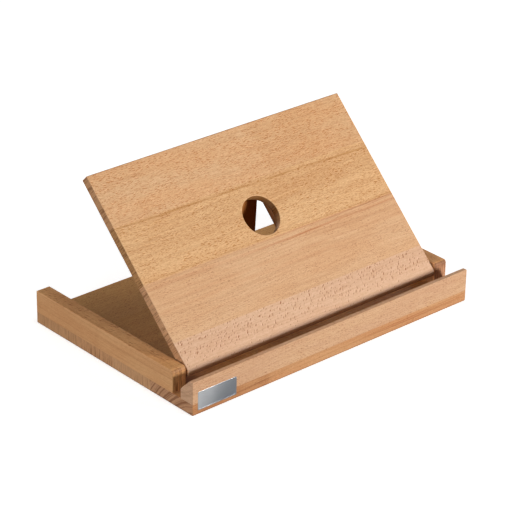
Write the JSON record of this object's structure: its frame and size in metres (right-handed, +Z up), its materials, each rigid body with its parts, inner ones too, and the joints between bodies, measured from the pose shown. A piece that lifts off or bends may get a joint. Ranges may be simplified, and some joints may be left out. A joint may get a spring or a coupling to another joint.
{
  "type": "tablet stand",
  "caption": "Folding wooden tablet stand: base board with side rails and front lip, hinged back-rest panel with a finger hole, and a hinged prop board behind it.",
  "frame": {"origin": "centre of the footprint, on the underside of the base board", "axes": "+X across the width to the right as seen from the front, +Y from the front lip to the back, +Z up"},
  "size_m": [0.3, 0.1988, 0.1455],
  "materials": {
    "beech_base": "oiled",
    "beech_lip": "oiled",
    "beech_rail": "oiled",
    "beech_panel": "oiled",
    "beech_prop": "oiled",
    "beech_dowel": "raw",
    "steel": "bright",
    "label": "satin"
  },
  "bodies": {
    "base": {"base_stave_1": "beech_base", "base_stave_2": "beech_base", "base_stave_3": "beech_base", "base_stave_4": "beech_base", "front_lip": "beech_lip", "left_rail": "beech_rail", "right_rail": "beech_rail", "label_plate": "label", "left_rail_dowels": "beech_dowel", "right_rail_dowels": "beech_dowel", "lip_dowels": "beech_dowel"},
    "panel": {"panel_stave_1": "beech_panel", "panel_stave_2": "beech_panel", "panel_stave_3": "beech_panel", "panel_stave_4": "beech_panel", "left_cleat": "beech_prop", "right_cleat": "beech_prop", "cleat_screws": "steel", "left_pivot_pin": "steel", "right_pivot_pin": "steel", "prop_pin": "steel"},
    "prop": {"prop_board": "beech_prop"}
  },
  "joints": [
    {"name": "panel_tilt", "type": "hinge", "parent": "base", "child": "panel", "pos_m": [0, -0.0691, 0.0252], "axis": [1, 0, 0], "range_deg": [0, 45.8]},
    {"name": "prop_swing", "type": "hinge", "parent": "panel", "child": "prop", "pos_m": [0, 0.02277, 0.1027], "axis": [1, 0, 0], "range_deg": [-49.2, 0]}
  ]
}
